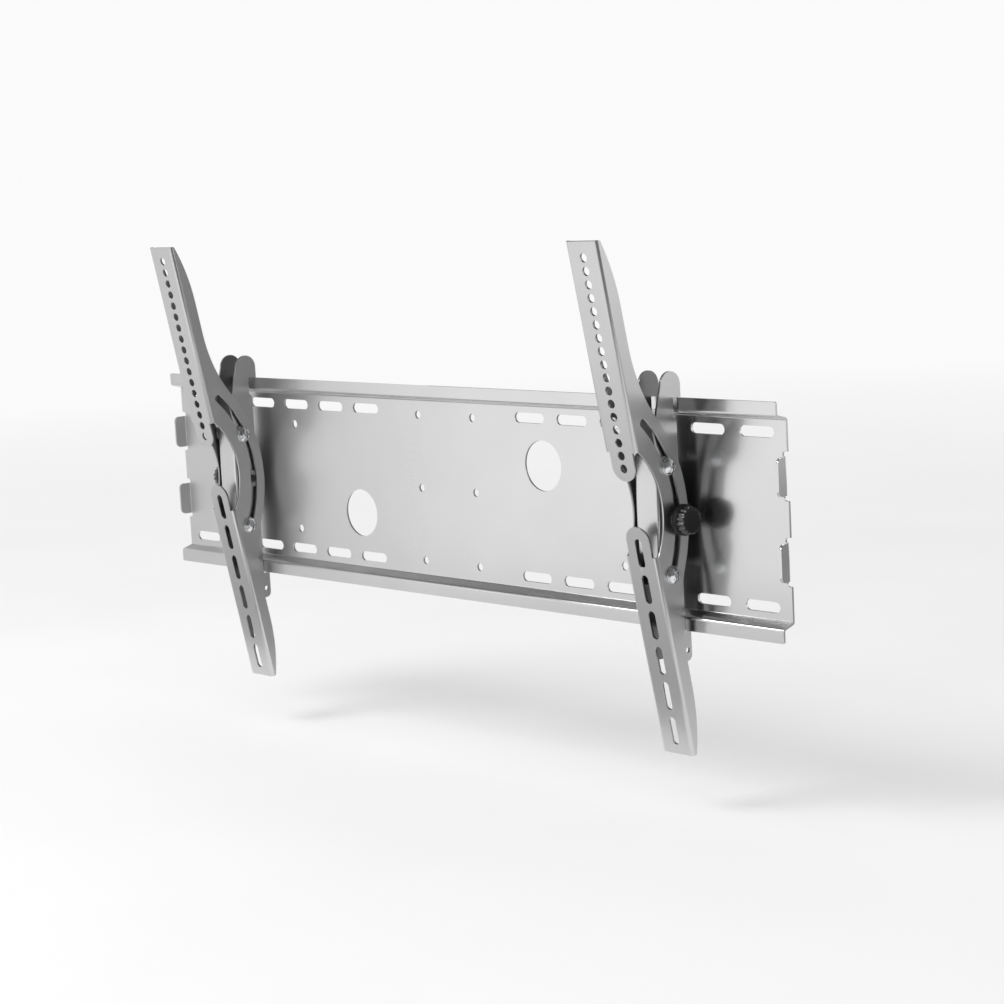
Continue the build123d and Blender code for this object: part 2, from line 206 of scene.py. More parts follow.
def two_tone(tree, factor, dark, light, start=0.3, end=0.7):
    """Colour between two tones by a factor."""
    ramp = tree.nodes.new("ShaderNodeValToRGB")
    first, last = ramp.color_ramp.elements
    first.position, last.position = start, end
    first.color, last.color = (*dark, 1), (*light, 1)
    tree.links.new(factor, ramp.inputs["Fac"])
    return ramp.outputs["Color"]


def add_bump(tree, shader, height, distance, strength):
    """Bump from a height factor."""
    bump = tree.nodes.new("ShaderNodeBump")
    bump.inputs["Distance"].default_value = distance
    bump.inputs["Strength"].default_value = strength
    tree.links.new(height, bump.inputs["Height"])
    tree.links.new(bump.outputs["Normal"], shader.inputs["Normal"])


print("helpers ready: noise, ranges, tones and bump")

# %% Sums and places
def arithmetic(tree, operation, first, second=0.0):
    """One arithmetic node, whose two inputs are numbers or outputs of other nodes."""
    node = tree.nodes.new("ShaderNodeMath")
    node.operation = operation
    for socket, value in zip(node.inputs, (first, second)):
        if isinstance(value, (int, float)):
            socket.default_value = value
        else:
            tree.links.new(value, socket)
    return node.outputs[0]


def height_along(tree, direction):
    """How far a point lies along a direction: the dot product of its Object coordinates with it."""
    place = tree.nodes.new("ShaderNodeTexCoord")
    dot = tree.nodes.new("ShaderNodeVectorMath")
    dot.operation = "DOT_PRODUCT"
    dot.inputs[1].default_value = direction
    tree.links.new(place.outputs["Object"], dot.inputs[0])
    return dot.outputs["Value"]


def scaled_colour(tree, colour, factor):
    """A colour times a factor."""
    scale = tree.nodes.new("ShaderNodeVectorMath")
    scale.operation = "SCALE"
    tree.links.new(colour, scale.inputs[0])
    tree.links.new(factor, scale.inputs["Scale"])
    return scale.outputs["Vector"]


ALONG_X = (1, 0, 0)
print("helpers ready: sums, places and scaled colours")

# %% [markdown]
# ## Silver paint
# The sheets are sprayed with a silver paint: metal flakes under a smooth clear layer. Seen close it has
# a fine sparkle and a slight orange peel, and from a distance it mirrors its surroundings softly. A
# picture of paint would have to be laid out over every fold, so nodes make it: a metallic shader gives
# the mirror, a small noise in the roughness the sparkle, and a low bump the orange peel.
#
# Inside the arms and the hook brackets the paint is made darker and loses its clear layer. This is
# painted
# shade: it stands in for the shade deep in a narrow channel. The paint lands drier at the end of a long
# pass, so the plate is duller towards its left end. The paint finds both places from a point's own
# coordinates, because the imported meshes themselves aren't changed.

# %% Silver paint
# Painted shade: inside a channel the paint's tone is scaled down to this share.
PAINTED_SHADE_INSIDE = 0.36  # tone inside a channel, as a share of the tone outside
DRY_ROUGH, DRY_CLEAR = 0.22, 0.15  # roughness that is added and clear layer that is left at a dry end


def inside_channel(tree, middle, half_width, depth, start):
    """1 inside a channel and 0 outside: a point is nearer the channel's middle in x than the half width,
    and its place along the depth direction lies past the start."""
    beside = arithmetic(tree, "SUBTRACT", height_along(tree, ALONG_X), middle)
    between = arithmetic(tree, "LESS_THAN", arithmetic(tree, "ABSOLUTE", beside), half_width)
    behind = arithmetic(tree, "GREATER_THAN", height_along(tree, depth), start)
    return arithmetic(tree, "MULTIPLY", between, behind)


def silver_paint(name, tone, rough, peel, clear, sparkle=0.05, channel=None, dry_end=None):
    """Silver paint of one tone: slow drift in the colour, sparkle in the roughness, peel in the bump.
    A channel holds what inside_channel asks for. A dry end is two places in x:
    from the second to the first the clear layer fades and the paint gets rougher."""
    material, tree, shader = node_material(name)
    shader.inputs["Metallic"].default_value = 1.0
    shader.inputs["Coat Weight"].default_value = clear
    shader.inputs["Coat IOR"].default_value = 1.9
    shader.inputs["Coat Roughness"].default_value = 0.07
    dark, light = [tuple(c * k for c in tone) for k in (0.98, 1.02)]
    colour = two_tone(tree, object_noise(tree, scale=14, detail=3), dark, light)
    flakes = object_noise(tree, scale=2600, detail=2)
    roughness = spread(tree, flakes, rough - sparkle, rough + sparkle)
    # Inside a channel the colour is darkened and the clear layer taken off: painted shade, not a real
    # coat.
    if channel:
        inside = inside_channel(tree, *channel)
        colour = scaled_colour(tree, colour, spread(tree, inside, 1.0, PAINTED_SHADE_INSIDE, 0, 1))
        tree.links.new(spread(tree, inside, clear, 0.0, 0, 1), shader.inputs["Coat Weight"])
    if dry_end:
        dry = spread(tree, height_along(tree, ALONG_X), 1.0, 0.0, *dry_end)
        roughness = arithmetic(tree, "ADD", roughness, arithmetic(tree, "MULTIPLY", dry, DRY_ROUGH))
        tree.links.new(spread(tree, dry, clear, DRY_CLEAR, 0, 1), shader.inputs["Coat Weight"])
    tree.links.new(colour, shader.inputs["Base Color"])
    tree.links.new(roughness, shader.inputs["Roughness"])
    add_bump(tree, shader, object_noise(tree, scale=420, detail=2), distance=0.0004, strength=peel)
    return material


plate_paint = silver_paint(
    "plate_paint", (0.72, 0.72, 0.722), rough=0.22, peel=0.01, clear=0.6,
    sparkle=0.02, dry_end=(-0.40, 0.05),
)
# A lighter paint for the rounded edges: a painted highlight.
edge_highlight_paint = silver_paint("edge_highlight_paint", (0.84, 0.84, 0.842), rough=0.25, peel=0.02, clear=0.4)
print("paints without a channel:", plate_paint.name, edge_highlight_paint.name)

# %% Paint for hook brackets and arms
HALF_SHEET = 0.00125
HOOK_HALF_WIDTH, ARM_HALF_WIDTH = 0.01375, 0.01875  # to the middle of the side walls' sheet
HOOK_START = -0.0457  # y at the middle of the base's sheet
PIVOT_Y, PIVOT_Z = -0.156, -0.0025  # the axis that the arms tilt about
ARM_FACE = 0.08897  # from that axis to an arm's front face
tilt = radians(11.5)  # of an arm, forward of upright
arm_depth = (0, cos(tilt), sin(tilt))
arm_start = PIVOT_Y * cos(tilt) + PIVOT_Z * sin(tilt) + ARM_FACE + HALF_SHEET


def middle_x(node):
    """Middle of a part's box in x, in metres."""
    low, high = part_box(node)
    return (low.x + high.x) / 2


hook_paint, arm_paint = {}, {}
# Each part's paint darkens the inside of its own channel as painted shade.
for side in SIDES:
    inner = (middle_x(f"{side}_hook_bracket"), HOOK_HALF_WIDTH, (0, 1, 0), HOOK_START)
    hook_paint[side] = silver_paint(
        f"{side}_hook_paint", (0.71, 0.71, 0.712), rough=0.30, peel=0.03, clear=0.3, channel=inner
    )
    inner = (middle_x(f"{side}_tilt_arm"), ARM_HALF_WIDTH, arm_depth, arm_start)
    arm_paint[side] = silver_paint(
        f"{side}_arm_paint", (0.68, 0.68, 0.682), rough=0.34, peel=0.04, clear=0.25, channel=inner
    )
print("paints with a channel:", [m.name for m in (*hook_paint.values(), *arm_paint.values())])

# %% [markdown]
# ## Soft edges on the sheets
# A punched edge is never a perfect corner: the sheet rolls over a little and the paint rounds it
# further, and that thin band catches the light. A bevel gives it. The imported mesh is loose triangles,
# so it is welded first and its flat areas are joined, or the bevel would run along every triangle.
# These are modifiers, so the imported mesh itself stays as it was. The band gets a paint of its own, a
# little lighter: a painted highlight along every edge, on top of the light that the rounding catches.

# %% Dress the sheets
FLAT_ANGLE, EDGE_ANGLE = radians(0.4), radians(50)  # faces to join, edges to round


def dress_sheet(node, paint, width):
    """Weld, join flat areas and round the edges of a packed sheet, and paint it."""
    sheet = nodes[node]
    sheet.data.materials.clear()
    sheet.data.materials.append(paint)
    sheet.data.materials.append(edge_highlight_paint)
    weld = sheet.modifiers.new("weld", "WELD")
    weld.merge_threshold = 1e-6
    flat = sheet.modifiers.new("flat", "DECIMATE")
    flat.decimate_type = "DISSOLVE"
    flat.angle_limit = FLAT_ANGLE
    rounding = sheet.modifiers.new("rounding", "BEVEL")
    rounding.width = width * MM
    rounding.segments = 2
    rounding.limit_method = "ANGLE"
    rounding.angle_limit = EDGE_ANGLE
    # The rounded band takes the lighter edge paint, a painted highlight.
    rounding.material = 1
    rounding.harden_normals = True
    rounding.miter_outer = "MITER_ARC"
    return sheet


dressed = [dress_sheet("wall_plate", plate_paint, width=0.7)]
for side in SIDES:
    dressed.append(dress_sheet(f"{side}_hook_bracket", hook_paint[side], width=0.6))
    dressed.append(dress_sheet(f"{side}_tilt_arm", arm_paint[side], width=0.7))
print("sheets dressed:", len(dressed))

# %% [markdown]
# ## Plated steel
# Screws, nuts, washers and spacers are plated with bright zinc, and the knobs' studs have a black
# oxide. Both are thin skins on steel, so the metal's mirror stays, with a fine mottle where the skin
# grew unevenly. One noise drives tone, roughness and bump together, as they belong together on the real
# skin.

# %% Plated steel
def plated_steel(name, dark, light, rough):
    """Plated steel: two close tones in a fine mottle, and roughness and bump that follow it."""
    material, tree, shader = node_material(name)
    shader.inputs["Metallic"].default_value = 1.0
    mottle = object_noise(tree, scale=900, detail=4)
    tree.links.new(two_tone(tree, mottle, dark, light), shader.inputs["Base Color"])
    tree.links.new(spread(tree, mottle, rough - 0.05, rough + 0.08), shader.inputs["Roughness"])
    add_bump(tree, shader, mottle, distance=0.0001, strength=0.08)
    return material


bright_zinc = plated_steel("bright_zinc", (0.70, 0.71, 0.72), (0.86, 0.87, 0.88), rough=0.16)
black_oxide = plated_steel("black_oxide", (0.05, 0.05, 0.052), (0.11, 0.11, 0.115), rough=0.34)
print("plated finishes:", bright_zinc.name, black_oxide.name)

# %% [markdown]
# ## Moulded plastic
# The slide washers are grey nylon, and the knobs are black plastic. A mould leaves a fine spark-eroded
# grain on them, which dulls the surface evenly. Round the grip of a knob the tool is polished, so the
# flutes get a clear gloss over the same black.

# %% Moulded plastic
def moulded_plastic(name, dark, light, rough, polish=0.0, mirror=0.5):
    """Moulded plastic: a fine spark-eroded grain in roughness and bump, and a slight bloom in the colour.
    Polish is the weight of a clear gloss over it, mirror how much the plastic itself reflects."""
    material, tree, shader = node_material(name)
    shader.inputs["Specular IOR Level"].default_value = mirror
    shader.inputs["Coat Weight"].default_value = polish
    shader.inputs["Coat IOR"].default_value = 2.0
    shader.inputs["Coat Roughness"].default_value = 0.12
    bloom = object_noise(tree, scale=60, detail=3)
    tree.links.new(two_tone(tree, bloom, dark, light), shader.inputs["Base Color"])
    grain = object_noise(tree, scale=3200, detail=2)
    tree.links.new(spread(tree, grain, rough - 0.08, rough + 0.1), shader.inputs["Roughness"])
    add_bump(tree, shader, grain, distance=0.0001, strength=0.25)
    return material


blacks = (0.010, 0.010, 0.011), (0.016, 0.016, 0.017)
knob_black = moulded_plastic("knob_black", *blacks, rough=0.45, mirror=0.25)
grip_black = moulded_plastic("grip_black", *blacks, rough=0.25, polish=0.6)
slide_nylon = moulded_plastic("slide_nylon", (0.22, 0.22, 0.215), (0.26, 0.26, 0.255), rough=0.5)
print("plastics:", knob_black.name, grip_black.name, slide_nylon.name)

# %% [markdown]
# ## Guide screws
# Each arm runs on two pan-head screws with a cross recess. A cutter could sink the cross into a plain
# head, but a cross is a star shape about its centre, so no cutting is needed: the rows of the recess
# use the cross's own radius at each angle, and the rows outside it widen to the round head. The same
# grid goes on under the head, along the thread and out to the tip.

# %% Threads
SCREW_RADIUS, THREAD_PITCH, THREAD_DEPTH = 4.0, 1.25, 0.62
STEPS_A_TURN = 8  # rows of points along one pitch
FADE_LENGTH = 0.6  # in pitches
THREAD_STOP = 0.9  # from the end of the screw
TIP = [(0.6, 3.5), (0.0, 2.9), (0.0, 0.0)]  # from the end of the screw, and radius


def thread_rows(start, end, columns):
    """A screw thread: at each x the radius drops by a triangle wave of the turn, one pitch long.
    The wave fades out at both ends of the thread."""
    rows = int(abs(end - start) / THREAD_PITCH * STEPS_A_TURN) + 1
    x = np.linspace(start, end, rows)[:, None]
    turn = x / THREAD_PITCH + turn_angles(columns)[None, :] / (2 * np.pi)
    wave = np.abs(2 * (turn - np.floor(turn)) - 1)
    from_end = np.minimum(np.abs(x - start), np.abs(end - x))
    fade = np.clip(from_end / (FADE_LENGTH * THREAD_PITCH), 0, 1)
    return np.broadcast_to(x, wave.shape), SCREW_RADIUS - THREAD_DEPTH * wave * fade


print("rows of a thread 10 mm long:", len(thread_rows(0, 10, 8)[0]))

# %% Screw heads
HEAD_HEIGHT, RIM_HEIGHT = 5.5, 1.8
DOME_RADIUS, BALL_RADIUS = 7.45, 9.6  # the dome's edge, and the ball that the dome is cut from
RIM = [(1.5, 7.75), (0.2, 7.75), (0.0, 7.55)]  # from the seat, and radius
RECESS_FLOOR, RECESS_FOOT, RECESS_MOUTH = 3.3, 2.7, 0.25  # from the head's top
SHANK_END, THREAD_START = 13.0, 12.5  # from the screw's tip


def cross_radius(angle, half_length, half_width):
    """Outline of a plus sign: at each angle the further of two crossed bars,
    and for each bar the nearer of its end and its side."""
    c, s = np.abs(np.cos(angle)) + 1e-9, np.abs(np.sin(angle)) + 1e-9
    flat_bar = np.minimum(half_length / c, half_width / s)
    tall_bar = np.minimum(half_length / s, half_width / c)
    return np.maximum(flat_bar, tall_bar)


def dome_rows(seat, top, angle):
    """Dome of a head: the radius runs evenly from the lip of the recess to the edge, and x is the ball's
    height there, raised towards the middle until the middle would lie at the top."""
    lip = cross_radius(angle, half_length=4.45, half_width=1.0)
    radius = np.linspace(0, 1, 10)[:, None] * (DOME_RADIUS - lip) + lip
    foot = seat + RIM_HEIGHT - np.sqrt(BALL_RADIUS**2 - DOME_RADIUS**2)
    x = foot + np.sqrt(np.maximum(BALL_RADIUS**2 - radius**2, 0))
    return x + (top - foot - BALL_RADIUS) * (1 - radius / DOME_RADIUS), radius


def guide_screw_grid(low, high, y, z, columns=96):
    """A screw from its tip at low to its head's top at high: recess, dome, rim, shank, thread and tip."""
    angle = turn_angles(columns)[None, :]
    level = np.ones((1, columns))
    seat = high - HEAD_HEIGHT
    rim = [(seat + x, radius) for x, radius in RIM]
    shank = [(seat, SCREW_RADIUS), (low + SHANK_END, SCREW_RADIUS)]
    rows = joined(
        ringed([(high - RECESS_FLOOR, 0.0)], columns),
        ((high - RECESS_FOOT) * level, cross_radius(angle, half_length=3.0, half_width=0.55)),
        ((high - RECESS_MOUTH) * level, cross_radius(angle, half_length=4.2, half_width=0.8)),
        dome_rows(seat, high, angle),
        ringed(rim + shank, columns),
        thread_rows(low + THREAD_START, low + THREAD_STOP, columns),
        ringed([(low + x, radius) for x, radius in TIP], columns),
    )
    return turned(*rows, (0, y, z))


for side in SIDES:
    for row in ROWS:
        node = f"{side}_{row}_guide_screw"
        screw = solid_piece(f"{node}_threaded", [guide_screw_grid(*axis_of(node))], bright_zinc)
        fit(screw, f"{side}_carriage", "bright_zinc", node)

# %% [markdown]
# ## Nuts
# A hexagon nut is a six-sided bar whose corners are turned off by a cone. At each angle the radius is
# the smaller of the hexagon's and the cone's, which draws the curved chamfer lines by itself, where a
# bevel would only cut straight ones. The lock nut adds a round collar that holds its plastic ring.

# %% Nuts
ACROSS_FLATS, NUT_BORE = 13.0, 4.15  # width over the flats, radius of the bore
CHAMFER_STEPS = (0.0, 0.25, 0.6, 1.0)  # rows near a face, by their distance from it
CONE_INSET, CONE_SLOPE = 0.3, 1.5  # inside the flats at the face, and how fast the cone widens
BORE_CHAMFER = [(0.0, 0.35), (0.4, 0.0)]  # from a face, and radius past the bore's
COLLAR_HEIGHT = 1.8
COLLAR = [(0.6, 5.55), (0.15, 5.2), (0.0, 4.8)]  # from the end, and radius
COLLAR_FOOT = 5.6  # radius where the collar leaves the face


def hexagon_radius(angle, across_flats):
    """Outline of a hexagon: half its width, divided by the cosine of the angle
    from the middle of the nearest flat."""
    sector = np.pi / 3
    return across_flats / 2 / np.cos((angle + sector / 2) % sector - sector / 2)


def nut_grid(start, end, y, z, collar=0.0, columns=120):
    """A nut from start to end along x: turned corners at both faces, a collar at the end, and its bore.
    The profile comes back to its first row, so the surface closes."""
    hexagon = hexagon_radius(turn_angles(columns)[None, :] + np.pi / 6, ACROSS_FLATS)
    level = np.ones((1, columns))
    cone = ACROSS_FLATS / 2 - CONE_INSET
    way = np.sign(end - start)
    face = end - way * collar
    places = [(start + way * step, step) for step in CHAMFER_STEPS]
    places += [(face - way * step, step) for step in reversed(CHAMFER_STEPS)]
    outside = [(x * level, np.minimum(hexagon, cone + step * CONE_SLOPE)) for x, step in places]
    top = [(face, COLLAR_FOOT)] + [(end - way * x, radius) for x, radius in COLLAR] if collar else []
    bore = [(end - way * x, NUT_BORE + past) for x, past in BORE_CHAMFER]
    bore += [(start + way * x, NUT_BORE + past) for x, past in reversed(BORE_CHAMFER)]
    return turned(*joined(*outside, ringed(top + bore, columns), outside[0]), (0, y, z))


for side in SIDES:
    for row in ROWS:
        node = f"{side}_{row}_lock_nut"
        low, high, y, z = axis_of(node)
        nut = solid_piece(f"{node}_chamfered", [nut_grid(high, low, y, z, COLLAR_HEIGHT)], bright_zinc)
        fit(nut, f"{side}_carriage", "bright_zinc", node)
    node = f"{side}_knob_nut"
    nut = solid_piece(f"{node}_chamfered", [nut_grid(*axis_of(node))], bright_zinc)
    fit(nut, f"{side}_carriage", "bright_zinc", node)

# %% [markdown]
# ## Washers and spacers
# A washer is a flat ring: stamped steel rolls over at its edges, and moulded nylon has a small radius
# all round. A spacer is the same ring, drawn out to a tube. A cylinder with a hole and a bevel would
# do, but one profile with rounded corners, turned about the axis, serves them all and keeps the faces
# few.

# %% Rings
RING_BORE = 4.2


def ring_grid(start, end, y, z, outer, round_over, columns=72):
    """A ring from start to end along x: a rectangle, its corners rounded by quarter circles, turned."""
    quarter = np.linspace(0, np.pi / 2, 4)
    c, s = round_over * np.cos(quarter), round_over * np.sin(quarter)
    first, last = start + round_over, end - round_over
    wide, narrow = outer - round_over, RING_BORE + round_over
    x = np.concatenate([last + s, last + c, first - s, first - c])
    radius = np.concatenate([wide + c, narrow - s, narrow - c, wide + s])
    profile = np.stack([np.append(x, x[0]), np.append(radius, radius[0])], -1)
    return turned(*ringed(profile, columns), (0, y, z))


def ring_pairs(node, axes, thickness, outer, round_over):
    """Rings at both ends of a part's box, one pair on each axis."""
    low, high, _, _ = axis_of(node)
    ends = ((low, low + thickness), (high - thickness, high))
    return [ring_grid(a, b, *axis, outer, round_over) for axis in axes for a, b in ends]


for side in SIDES:
    screws = [axis_of(f"{side}_{row}_guide_screw")[2:] for row in ROWS]
    knob_axis = axis_of(f"{side}_knob_stud")[2:]
    node = f"{side}_slide_washers"
    rings = ring_pairs(node, [*screws, knob_axis], thickness=2.35, outer=9.5, round_over=0.4)
    rings = solid_piece(f"{side}_nylon_washers", rings, slide_nylon)
    fit(rings, f"{side}_carriage", "slide_plastic", node)
    node = f"{side}_flat_washers"
    rings = ring_pairs(node, screws, thickness=1.5, outer=8.5, round_over=0.3)
    rings = solid_piece(f"{side}_steel_washers", rings, bright_zinc)
    fit(rings, f"{side}_carriage", "bright_zinc", node)
    node = f"{side}_knob_washer"
    ring = ring_grid(*axis_of(node), outer=9.0, round_over=0.3)
    ring = solid_piece(f"{side}_knob_ring", [ring], bright_zinc)
    fit(ring, f"{side}_knob", "bright_zinc", node)
    for row in ROWS:
        node = f"{side}_{row}_spacer"
        tube = ring_grid(*axis_of(node), outer=6.0, round_over=0.35)
        tube = solid_piece(f"{node}_tube", [tube], bright_zinc)
        fit(tube, f"{side}_carriage", "bright_zinc", node)

# %% [markdown]
# ## Clamping knobs
# The knob that locks the tilt is black plastic: a smooth skirt below, and a grip above it with straight
# flutes for the fingers. Flutes could be cut one by one with a round cutter. Round the axis, though,
# they are only a row of valleys in the radius, so the knob is again one turned grid, whose radius
# depends on the angle.

# %% Knob shape
KNOB_FOOT = [(0.0, 0.0), (0.0, 8.2), (0.3, 8.5), (2.7, 8.5), (3.0, 8.8)]  # hub: height and radius
KNOB_SKIRT = [(3.0, 14.2), (3.25, 14.75), (3.8, 15.0), (8.7, 15.0), (9.25, 14.75), (9.5, 14.2)]
# Grip: height, radius, and radius of the flutes, which get wider as the grip gets slimmer
KNOB_GRIP = [
    (9.5, 14.0, 1.7), (13.0, 13.7, 2.0), (16.4, 13.4, 2.3), (16.8, 13.2, 2.5), (17.0, 12.75, 2.9)
]
KNOB_DISH = [(17.0, 11.2), (16.75, 10.9), (16.6, 10.2), (16.6, 0.0)]
FLUTE_CENTRE, FLUTE_COUNT = 14.7, 16  # distance of the flutes' centres from the axis


def fluted_radius(angle, outer, flute):
    """Outline of a fluted bar: at each angle the smaller of the bar's radius and a flute's near side.
    A circle of radius f about a centre at distance c is met at c cos t - sqrt(f^2 - c^2 sin^2 t)."""
    step = 2 * np.pi / FLUTE_COUNT
    t = (angle + step / 2) % step - step / 2
    inside = flute**2 - (FLUTE_CENTRE * np.sin(t)) ** 2
    near = FLUTE_CENTRE * np.cos(t) - np.sqrt(np.maximum(inside, 0))
    return np.where(inside > 0, np.minimum(outer, near), outer)


def knob_grid(hub, y, z, facing, columns=384):
    """A knob from its hub outwards: hub, plain skirt, tapered fluted grip, and a dish in its end."""
    angle = turn_angles(columns)[None, :]
    level = np.ones((1, columns))
    grip = [(x * level, fluted_radius(angle, outer, flute)) for x, outer, flute in KNOB_GRIP]
    rows = joined(ringed(KNOB_FOOT + KNOB_SKIRT, columns), *grip, ringed(KNOB_DISH, columns))
    return turned(*rows, (hub, y, z), facing)


print("knob's height in mm:", KNOB_GRIP[-1][0], "with", FLUTE_COUNT, "flutes")

# %% Knobs
FACING_ALONG = 0.9  # a face with more than this of its normal along x counts as an end face


def polish_grip(knob, hub):
    """Gives the faces round the grip its gloss: they lie beyond the skirt and don't face along x."""
    start, end = KNOB_GRIP[0][0], KNOB_GRIP[-1][0]
    mesh = knob.data
    mesh.materials.append(grip_black)
    centres, normals = np.empty((2, len(mesh.polygons), 3))
    mesh.polygons.foreach_get("center", centres.ravel())
    mesh.polygons.foreach_get("normal", normals.ravel())
    along = np.abs(centres[:, 0] / MM - hub)
    round_grip = (along > start) & (along < end) & (np.abs(normals[:, 0]) < FACING_ALONG)
    mesh.polygons.foreach_set("material_index", round_grip.astype(np.int32))
    print(knob.name, "polished faces:", int(round_grip.sum()))


for side, facing in zip(SIDES, (-1, 1)):
    low, high, y, z = axis_of(f"{side}_knob")
    hub = low if facing > 0 else high
    knob = solid_piece(f"{side}_fluted_knob", [knob_grid(hub, y, z, facing)], knob_black)
    polish_grip(knob, hub)
    fit(knob, f"{side}_knob", "knob_plastic", f"{side}_knob")

# %% [markdown]
# ## Studs
# A stud is moulded into each knob and runs through both webs of the arm to the nut inside. It has a
# thread all the way and a chamfer at both ends, so it takes the screws' thread and tip, the tip once at
# each end.

# %% Studs
def stud_grid(low, high, y, z, columns=64):
    """A stud from low to high along x: chamfered ends and a thread all the way."""
    rows = joined(
        ringed([(low + x, radius) for x, radius in reversed(TIP)], columns),
        thread_rows(low + THREAD_STOP, high - THREAD_STOP, columns),
        ringed([(high - x, radius) for x, radius in TIP], columns),
    )
    return turned(*rows, (0, y, z))


for side in SIDES:
    node = f"{side}_knob_stud"
    stud = solid_piece(f"{node}_threaded", [stud_grid(*axis_of(node))], black_oxide)
    fit(stud, f"{side}_knob", "dark_steel", node)

# %% [markdown]
# ## Floor
# The bracket hangs a little above a plain pale floor, which takes its soft shadow. A backdrop that
# curves up behind would show in the metal, so the floor stays flat instead and fades, with distance,
# into a glow of the background's own tone. No edge is left to see, from any side.

# %% Floor
BACKGROUND = 0.96
FLOOR_HALF = 9.0
FADE_START, FADE_END = 1.2, 4.5  # distance from the middle, in metres
FLOOR_GAP = 0.06  # under the arms' lower ends
floor_z = cad_low.z - FLOOR_GAP


def plane_piece(name, corners, material):
    """A flat four-cornered stage piece."""
    mesh = bpy.data.meshes.new(name)
    mesh.from_pydata(np.asarray(corners, float), [], [(0, 1, 2, 3)])
    mesh.materials.append(material)
    piece = bpy.data.objects.new(name, mesh)
    scene.collection.objects.link(piece)
    piece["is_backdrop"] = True
    return piece


def lying(height, *points):
    """Corners of a plane that lies at a height."""
    return [(x, y, height) for x, y in points]


def square(half):
    """Corners of a square about the middle, seen from above."""
    return [(-half, -half), (half, -half), (half, half), (-half, half)]


floor_paint, tree, shader = node_material("floor_paint")
place = tree.nodes.new("ShaderNodeTexCoord")
distance = tree.nodes.new("ShaderNodeVectorMath")
distance.operation = "LENGTH"
tree.links.new(place.outputs["Object"], distance.inputs[0])
far = spread(tree, distance.outputs["Value"], 0.0, 1.0, FADE_START, FADE_END)
tone = two_tone(tree, object_noise(tree, scale=3, detail=2), (0.84, 0.84, 0.84), (0.86, 0.86, 0.86))
near_tone = scaled_colour(tree, tone, arithmetic(tree, "SUBTRACT", 1.0, far))
tree.links.new(near_tone, shader.inputs["Base Color"])
shader.inputs["Roughness"].default_value = 0.9
shader.inputs["Specular IOR Level"].default_value = 0.0
shader.inputs["Emission Color"].default_value = (BACKGROUND, BACKGROUND, BACKGROUND, 1)
tree.links.new(far, shader.inputs["Emission Strength"])
plane_piece("floor", lying(floor_z, *square(FLOOR_HALF)), floor_paint)
print("floor at", round(floor_z, 3), "m")

# %% [markdown]
# ## Reflection cards
# Metal looks like what surrounds it. A photographer therefore sets up white and dark cards just outside
# the picture and decides with them what each face mirrors. Lamps could do some of that, but they would
# light the floor and throw shadows too. The cards here show only in reflections. Most run from one grey
# to another, so that a flat sheet gets a soft gradient.

# %% A card
def reflection_card(name, corners, levels, direction=ALONG_X, reach=(0.0, 1.0)):
    """A card that shows only in reflections.
    Its grey runs from one level to the other as the place along a direction runs through the reach."""
    material, tree, shader = node_material(f"{name}_tone")
    shader.inputs["Base Color"].default_value = (0, 0, 0, 1)
    shader.inputs["Specular IOR Level"].default_value = 0
    shader.inputs["Emission Color"].default_value = (1, 1, 1, 1)
    run = spread(tree, height_along(tree, direction), *levels, *reach)
    tree.links.new(run, shader.inputs["Emission Strength"])
    card = plane_piece(name, corners, material)
    card.visible_camera = False
    card.visible_diffuse = False
    card.visible_transmission = False
    card.visible_shadow = False
    print(name, "from", levels[0], "to", levels[1])


def upright(start, end, bottom, top):
    """Corners of a card that stands between two points seen from above."""
    (x0, y0), (x1, y1) = start, end
    return [(x0, y0, bottom), (x1, y1, bottom), (x1, y1, top), (x0, y0, top)]


CARD_TOP = 2.2
print("cards reach up to", CARD_TOP, "m")

# %% [markdown]
# ## Cards in front
# The plate mirrors what is at the left front. There a bright card stands and a second one lies before
# it, which fades towards the plate. At the right front two cards run from pale to dark. They are
# mirrored between arms and plate, and give the strips beside the hook brackets their depth.

# %% Cards in front
near_level, front_level = floor_z + 0.001, floor_z + 0.002  # just above the floor
corners = upright((-1.35, -0.25), (-0.05, -1.25), floor_z, 0.35)
reflection_card("bright_card", corners, (0.62, 1.0), ALONG_X, (-1.15, -0.72))
corners = lying(near_level, (-1.4, -0.15), (0.40, -0.12), (0.15, -1.3), (-0.05, -1.26))
reflection_card("near_card", corners, (0.34, 1.05), (0, -1, 0), (0.15, 1.2))
corners = upright((-0.5, -3.2), (2.3, -1.9), floor_z, CARD_TOP)
reflection_card("dark_card", corners, (0.90, 0.08), ALONG_X, (0.2, 1.3))
corners = lying(front_level, (0.40, -0.22), (0.25, -0.30), (0.0, -2.4), (2.5, -1.9))
reflection_card("front_card", corners, (0.90, 0.10), ALONG_X, (0.15, 1.0))

# %% [markdown]
# ## Cards behind and above
# The sides of the arms look to the right and back. There the left one mirrors the back card, and the
# right one the side card, which is brighter towards its top, and the ground card before it. The dark
# end card closes the gap on the right. What faces upwards, such as the shelf of the lower rail, mirrors
# the high card and the ceiling.

